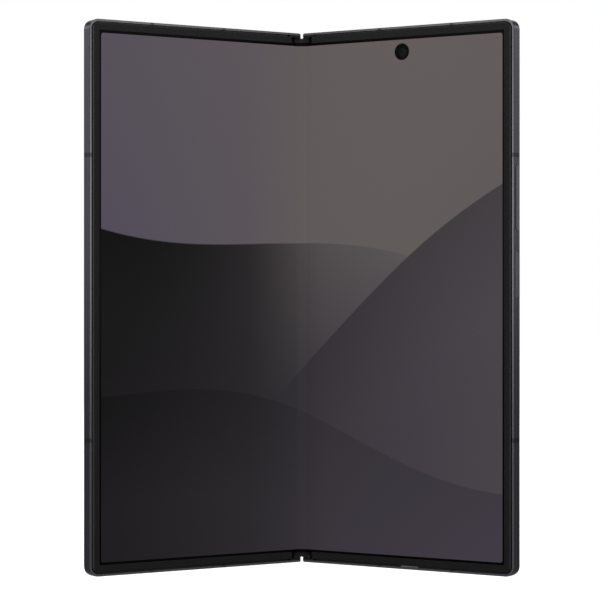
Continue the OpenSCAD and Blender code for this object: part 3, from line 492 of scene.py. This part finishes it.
# The picture is a rounded rectangle: a point beyond its corner centres by less than the radius.
radius = picture_corner * uv_scale
beyond = []
for value, middle, half in (
    (x, 0.0, half_w - border_side),
    (z, body_h / 2, body_h / 2 - border_end),
):
    value = add_node(tree, "ShaderNodeMath", (value, middle * uv_scale), operation="SUBTRACT")
    value = add_node(tree, "ShaderNodeMath", (value,), operation="ABSOLUTE")
    value = add_node(
        tree, "ShaderNodeMath", (value, half * uv_scale - radius), operation="SUBTRACT"
    )
    beyond.append(add_node(tree, "ShaderNodeMath", (value, 0.0), operation="MAXIMUM"))
beyond = add_node(tree, "ShaderNodeCombineXYZ", beyond)
beyond = add_node(tree, "ShaderNodeVectorMath", (beyond,), out=1, operation="LENGTH")
lit = add_node(tree, "ShaderNodeMath", (beyond, radius), operation="LESS_THAN")
# The camera's opening is black: nearer to its middle than its radius.
middle = (inner_camera_place[0] * uv_scale, inner_camera_place[1] * uv_scale, 0)
away = add_node(tree, "ShaderNodeVectorMath", (uv, middle), out=1, operation="DISTANCE")
away = add_node(
    tree, "ShaderNodeMath", (away, inner_camera_r * uv_scale), operation="GREATER_THAN"
)
lit = add_node(tree, "ShaderNodeMath", (lit, away), operation="MULTIPLY")
across = add_node(tree, "ShaderNodeMath", (x, 1 / uv_scale / half_w), operation="MULTIPLY")
up = add_node(tree, "ShaderNodeMath", (z, 1 / uv_scale / body_h), operation="MULTIPLY")
picture = dune_picture(tree, across, up)
surface = add_node(
    tree,
    "ShaderNodeBsdfPrincipled",
    {
        "Base Color": "#010101",
        "Roughness": 0.2,
        "Specular IOR Level": 0.012,
        "Emission Color": add_node(
            tree, "ShaderNodeMix", {0: lit, 6: "#010101", 7: picture}, out=2, data_type="RGBA"
        ),
        "Emission Strength": 1.0,
    },
)
add_node(tree, "ShaderNodeOutputMaterial", (surface,))

start, end, section, flat = film_section()
for name, side, body, hidden in (
    ("folding_display_main", 1, "main_half", ("main_display_panel", "display_fold")),
    ("folding_display_cover", -1, "cover_half", ("cover_display_panel",)),
):
    mesh = film_sheet(name, side, section, flat)
    mesh.materials.append(film)
    piece = bpy.data.objects.new(name, mesh)
    bpy.context.scene.collection.objects.link(piece)
    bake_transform(piece)
    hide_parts(*hidden)

# ------------------------------------------------------------------ inner camera
# A small glass lens, ground and coated dark, behind the film's round opening. It sits in a black
# ring, and the coating leaves it almost without a reflection.

facing = Vector((-math.sin(fold_rest), -math.cos(fold_rest), 0))
lens_r = 0.00185
lens_back = -0.00004
lens_edge = 0.00002
lens_rise = 0.00009
ring_soft = 0.06


def turned_form(profile, place, outward, steps=64):
    """Points and faces of a (radius, height) profile turned about the outward line at place.

    The profile starts on the line at its low end and ends on the line at its top.
    """
    side = Vector((0, 0, 1)).cross(outward).normalized()
    turn = np.arange(steps) / steps * 2 * np.pi
    ring = np.outer(np.cos(turn), side) + np.outer(np.sin(turn), outward.cross(side))
    profile = np.array(profile)
    low, high = profile[[0, -1], 1]
    rings = (
        np.array(place)
        + profile[1:-1, 1][:, None, None] * np.array(outward)
        + profile[1:-1, 0][:, None, None] * ring
    )
    points = np.concatenate(
        [rings.reshape(-1, 3), place + np.outer((low, high), outward)]
    )
    rows = len(profile) - 2
    i, j = np.arange(steps), np.arange(rows - 1)[:, None]
    after = (i + 1) % steps
    last = (rows - 1) * steps
    walls = np.stack(
        [j * steps + i, j * steps + after, (j + 1) * steps + after, (j + 1) * steps + i], -1
    )
    under = np.stack([np.full(steps, rows * steps), after, i], -1)
    over = np.stack([np.full(steps, rows * steps + 1), last + i, last + after], -1)
    return points, walls.reshape(-1, 4).tolist() + under.tolist() + over.tolist()


def add_lenses(name, profile, places, outward, material, replaced):
    """One piece of equal turned forms on the main half, with the radius in mm as UV."""
    points, faces, radii, count = [], [], [], 0
    for place in places:
        form, quads = turned_form(profile, place, outward)
        reach = form - np.array(place)
        faces += [[count + corner for corner in face] for face in quads]
        points.append(form)
        radii.append(np.linalg.norm(np.cross(reach, outward), axis=1) * 1000)
        count += len(form)
    mesh = bpy.data.meshes.new(name)
    mesh.from_pydata(np.concatenate(points).tolist(), [], faces)
    corner = np.zeros(len(mesh.loops), int)
    mesh.loops.foreach_get("vertex_index", corner)
    radius = np.concatenate(radii)[corner]
    layer = mesh.uv_layers.new(name="radius")
    layer.data.foreach_set("uv", np.column_stack([radius, radius]).astype(np.float32).ravel())
    mesh.shade_smooth()
    mesh.set_sharp_from_angle(angle=math.radians(25))
    mesh.materials.append(material)
    piece = bpy.data.objects.new(name, mesh)
    bpy.context.scene.collection.objects.link(piece)
    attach(piece, "main_half")
    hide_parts(replaced)


def coated_glass(name, gloss, middle, rings):
    """Gloss glass over a lens: its colour steps at each ring's radius in mm to the ring's code."""
    material, tree = new_tree(name)
    uv = add_node(tree, "ShaderNodeUVMap", uv_map="radius")
    radius = add_node(tree, "ShaderNodeSeparateXYZ", (uv,))
    color = middle
    for limit, code in rings:
        past = add_node(
            tree,
            "ShaderNodeMapRange",
            {"Value": radius, "From Min": limit - ring_soft, "From Max": limit + ring_soft},
        )
        color = add_node(
            tree, "ShaderNodeMix", {0: past, 6: color, 7: code}, out=2, data_type="RGBA"
        )
    surface = add_node(
        tree,
        "ShaderNodeBsdfPrincipled",
        {"Base Color": color, "Roughness": 0.08, "Specular IOR Level": gloss},
    )
    add_node(tree, "ShaderNodeOutputMaterial", (surface,))
    return material


camera_dome = [(0, lens_back), (lens_r, lens_back), (lens_r, lens_edge)]
camera_dome += [
    (lens_r * math.sin(a), lens_edge + lens_rise * math.cos(a)) for a in np.linspace(1.4, 0, 7)
]
add_lenses(
    "inner_camera_lens",
    camera_dome,
    [(*folded(inner_camera_place[0], film_front, 1.0), inner_camera_place[1])],
    facing,
    coated_glass("coated_camera_lens", 0.01, "#060808", ((0.55, "#0c0e0e"), (1.2, "#090909"))),
    "inner_camera_window",
)

# ------------------------------------------------------------------ glass backs
# Etched glass on the half with the cameras, which scatters the light, and polished glass over the
# cover display on the other half. The display is off: a dark grey field in a printed black
# border, with the cover camera's round opening near its top.

cover_screen_x = (0.0056, 0.0690)
cover_screen_z = (0.0026, 0.1558)
cover_screen_corner = 0.0016
cover_camera_place = (0.037, 0.1504)
cover_camera_r = 0.0019
cover_lens_r = 0.0011
cover_pupil_r = 0.0005

dress(
    satin("etched_back_glass", "#1e1e21", "#222226", 0.0, 0.4, 0.0004, Specular_IOR_Level=0.3),
    "rear_glass",
)
glass = satin(
    "polished_cover_glass", "#18181c", "#1a1a1e", 0.0, 0.06, 0.002, Specular_IOR_Level=0.3
)
tree, surface, color = satin_parts(glass)
x, _, z = add_node(tree, "ShaderNodeSeparateXYZ", (unfolded_place(tree, -1),)).node.outputs
beyond = []
for value, (low, high) in ((x, cover_screen_x), (z, cover_screen_z)):
    value = add_node(
        tree, "ShaderNodeMath", (value, (low + high) / 2), operation="SUBTRACT"
    )
    value = add_node(tree, "ShaderNodeMath", (value,), operation="ABSOLUTE")
    reach = (high - low) / 2 - cover_screen_corner
    value = add_node(tree, "ShaderNodeMath", (value, reach), operation="SUBTRACT")
    beyond.append(add_node(tree, "ShaderNodeMath", (value, 0.0), operation="MAXIMUM"))
beyond = add_node(tree, "ShaderNodeCombineXYZ", beyond)
beyond = add_node(tree, "ShaderNodeVectorMath", (beyond,), out=1, operation="LENGTH")
border = add_node(
    tree, "ShaderNodeMath", (beyond, cover_screen_corner), operation="GREATER_THAN"
)
place = add_node(tree, "ShaderNodeCombineXYZ", (x, z))
away = add_node(
    tree, "ShaderNodeVectorMath", (place, (*cover_camera_place, 0)), out=1, operation="DISTANCE"
)
for limit, code in (
    (cover_camera_r, "#020202"),
    (cover_lens_r, "#0b1014"),
    (cover_pupil_r, "#131a22"),
):
    within = add_node(tree, "ShaderNodeMath", (away, limit), operation="LESS_THAN")
    color = add_node(
        tree, "ShaderNodeMix", {0: within, 6: color, 7: code}, out=2, data_type="RGBA"
    )
color = add_node(
    tree, "ShaderNodeMix", {0: border, 6: color, 7: "#040405"}, out=2, data_type="RGBA"
)
tree.links.new(color, surface.inputs["Base Color"])
dress(glass, "cover_glass")
dress(satin("dark_panel", "#060607", "#080809", 0.0, 0.2, 0.002), "cover_display")

# ------------------------------------------------------------------ camera island
# A raised island milled from aluminium, with three polished rings pressed in. Each ring holds a
# flat glass over a black mask and a coated lens.

dress(satin("anodised_island", "#26262a", "#2a2a2e", 1.0, 0.38, blast_grain), "camera_island")
dress(satin("polished_ring", "#4c4c53", "#525259", 1.0, 0.18, 0.0004), "camera_lens_rings")
dress(
    satin("black_lens_barrel", "#0c0c0e", "#101012", 0.0, 0.4, 0.0004),
    "rear_cameras",
    "inner_camera",
    "cover_camera",
)
island_in = 0.014
island_x = half_w - island_in
island_top = 0.0061
glass_sink = 0.0006
lens_drop = 0.019
lens_pitch = 0.0168
lens_z = [body_h - lens_drop - i * lens_pitch for i in range(3)]
rear_lens_r = 0.0031
rear_lens_rise = 0.0004
# Radius and height: the glass with its chamfer, a step down to the mask, then the lens.
lens_stack = [
    (0, 0.0),
    (0.00588, 0.0),
    (0.00588, 0.00085),
    (0.00575, 0.00098),
    (0.0038, 0.00098),
    (0.0036, 0.0007),
    (rear_lens_r, 0.0007),
]
lens_stack += [
    (rear_lens_r * math.sin(a), 0.0005 + rear_lens_rise * math.cos(a))
    for a in np.linspace(1.35, 0, 8)
]
add_lenses(
    "rear_camera_lenses",
    lens_stack,
    [(*folded(island_x, island_top - glass_sink, 1.0), z) for z in lens_z],
    -facing,
    coated_glass(
        "coated_rear_lens",
        0.2,
        "#0d1318",
        ((0.9, "#15131c"), (1.9, "#0b0f14"), (3.05, "#1b1b1e"), (3.7, "#060607")),
    ),
    "camera_lens_glasses",
)
dress(satin("flash_diffuser", "#d2ccb6", "#ded8c4", 0.0, 0.25, 0.0005, bump=0.5), "flash_lens")

# ------------------------------------------------------------------ parts inside
# Boards, foil-pouch cells, speakers and the hinge train, seen only when the model is taken apart
# or folded. Pouches, boards and resin are dull. Pressed shields, stamped and turned steel, cut
# bronze gears and wound copper shine.

for name, dark, light, metal, rough, size, nodes in (
    ("foil_pouch", "#2a2a2d", "#313135", 0.2, 0.4, 0.0015, ("main_battery", "cover_battery")),
    (
        *("solder_mask", "#123a2a", "#184634", 0.0, 0.35, 0.0006),
        ("main_board", "port_board", "cover_board"),
    ),
    (
        *("tinned_shield", "#b2b4b8", "#bcbec2", 1.0, 0.32, 0.0005),
        ("board_shields", "cover_shields", "tray_socket"),
    ),
    ("copper_winding", "#a5673a", "#b57443", 1.0, 0.3, 0.0004, ("charging_coil",)),
    ("nickel_port", "#5f6065", "#696a6f", 1.0, 0.28, 0.0003, ("charging_port",)),
    ("speaker_resin", "#1d1d20", "#232326", 0.0, 0.5, 0.0004, ("main_speaker", "top_speaker")),
    (
        *("stamped_steel", "#85878d", "#909298", 1.0, 0.3, 0.0004),
        (
            "haptic_motor",
            "main_hinge_brackets",
            "cover_hinge_brackets",
            "hinge_bases",
            "main_timing_levers",
            "cover_timing_levers",
        ),
    ),
    (
        *("turned_steel", "#b4b6ba", "#c0c2c6", 1.0, 0.22, 0.0003),
        ("main_bracket_screws", "cover_bracket_screws", "base_screws", "gear_shafts"),
    ),
    (
        *("gear_bronze", "#b8924a", "#c49f56", 1.0, 0.26, 0.0002),
        ("main_idler_gears", "cover_idler_gears"),
    ),
    ("switch_brass", "#8a6a2c", "#967636", 1.0, 0.35, 0.0003, ("key_switches",)),
    (
        *("support_plate", "#77777c", "#808086", 1.0, 0.4, 0.0006),
        ("main_display_plate", "cover_display_plate"),
    ),
    ("card_resin", "#d8d8d4", "#e0e0dc", 0.0, 0.35, 0.0006, ("sim_card",)),
):
    dress(satin(name, dark, light, metal, rough, size), *nodes)
